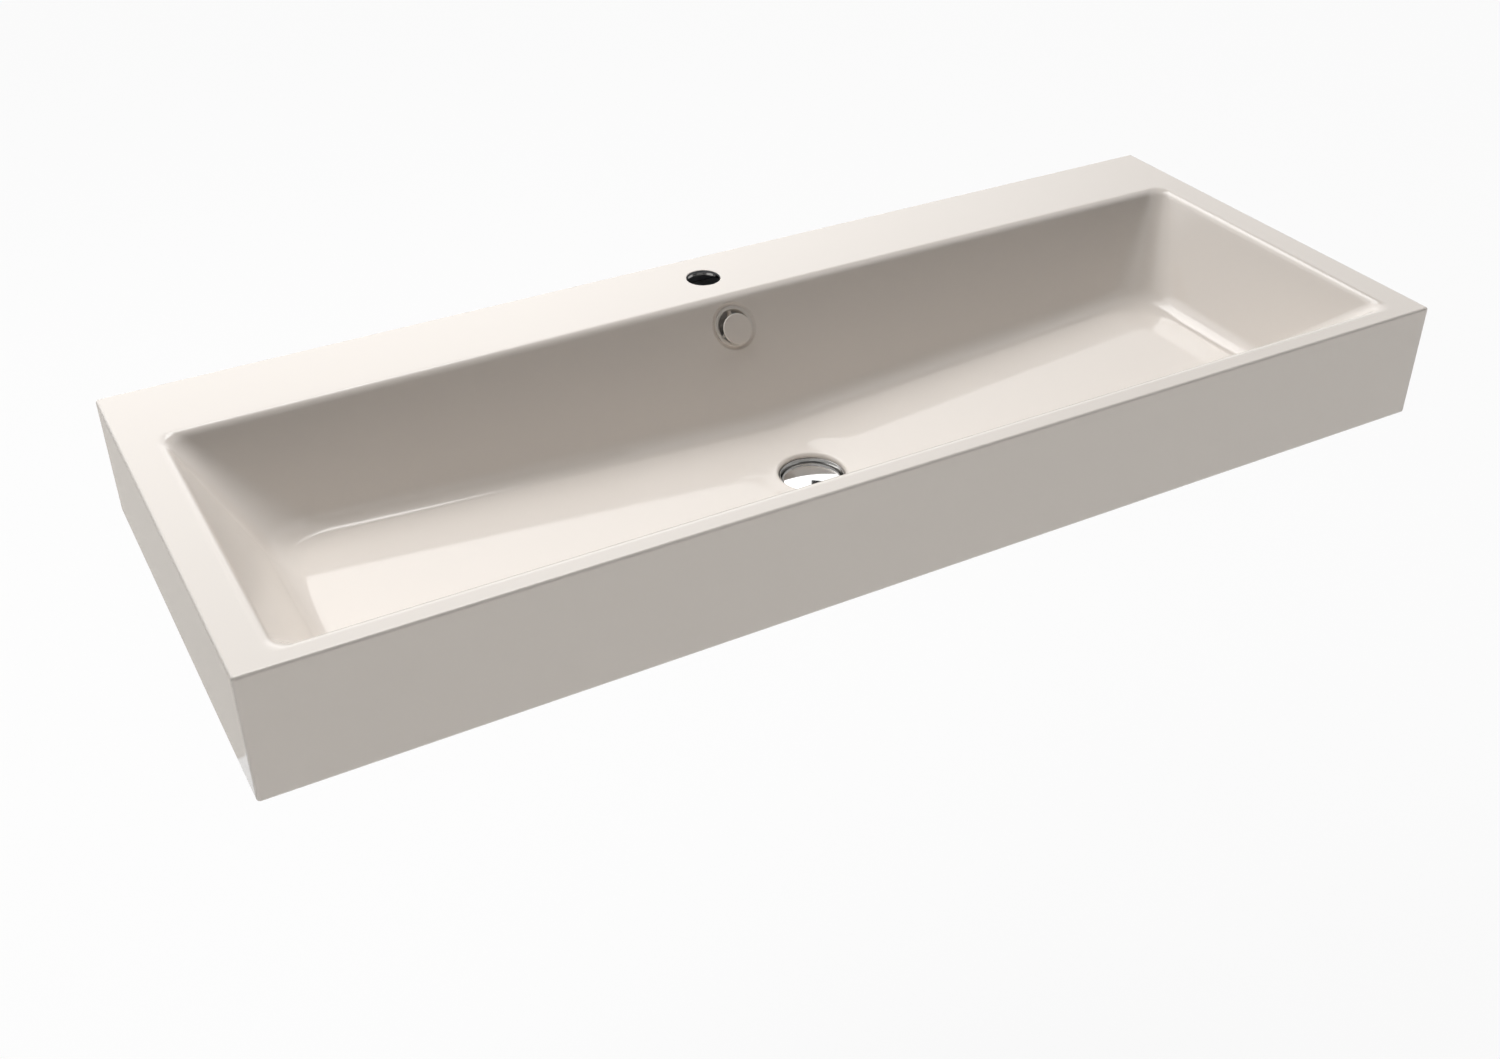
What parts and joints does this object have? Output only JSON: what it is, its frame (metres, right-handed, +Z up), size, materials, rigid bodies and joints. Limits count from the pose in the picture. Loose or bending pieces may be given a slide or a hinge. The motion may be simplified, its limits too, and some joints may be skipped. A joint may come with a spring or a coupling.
{
  "type": "wall-hung washbasin",
  "caption": "Wall-hung washbasin drawn from one sheet of enamelled steel, with a tap ledge, a capped overflow and a push-open waste.",
  "frame": {"origin": "on the wall plane, midway between the two wall fixing holes", "axes": "+X along the wall, to the right as seen from the room; +Y towards the wall; +Z up"},
  "size_m": [1.2, 0.46, 0.2175],
  "materials": {
    "enamel": "glossy warm white vitreous enamel",
    "chrome": "polished chrome plate",
    "spring_steel": "stainless steel",
    "zinc": "zinc-plated sheet steel",
    "rubber": "matt black rubber",
    "bitumen": "matt bitumen sheet",
    "nylon": "natural nylon",
    "white_plastic": "satin white polypropylene",
    "black_plastic": "satin black plastic"
  },
  "bodies": {
    "basin_set": {"basin": "enamel", "rear_rail": "zinc", "tap_plate": "zinc", "wall_sleeves": "nylon", "damping_pads": "bitumen", "overflow_cap": "enamel", "overflow_insert": "black_plastic", "overflow_screw": "chrome", "overflow_gasket": "rubber", "overflow_elbow": "white_plastic", "overflow_hose": "black_plastic", "hose_nuts": "white_plastic", "hose_seals": "rubber", "waste_cup": "chrome", "cup_seal": "rubber", "body_seal": "rubber", "slip_washer": "white_plastic", "waste_body": "white_plastic", "click_cartridge": "black_plastic", "cartridge_cap": "black_plastic", "click_spring": "spring_steel"},
    "plug": {"plug_stem": "chrome", "plug_disc": "white_plastic", "plug_seal": "rubber", "plug_cap": "chrome"}
  },
  "joints": [
    {"name": "plug_lift", "type": "slide", "parent": "basin_set", "child": "plug", "axis": [0, 0, 1], "range_m": [0, 0.008], "deforming": ["click_spring"]}
  ]
}
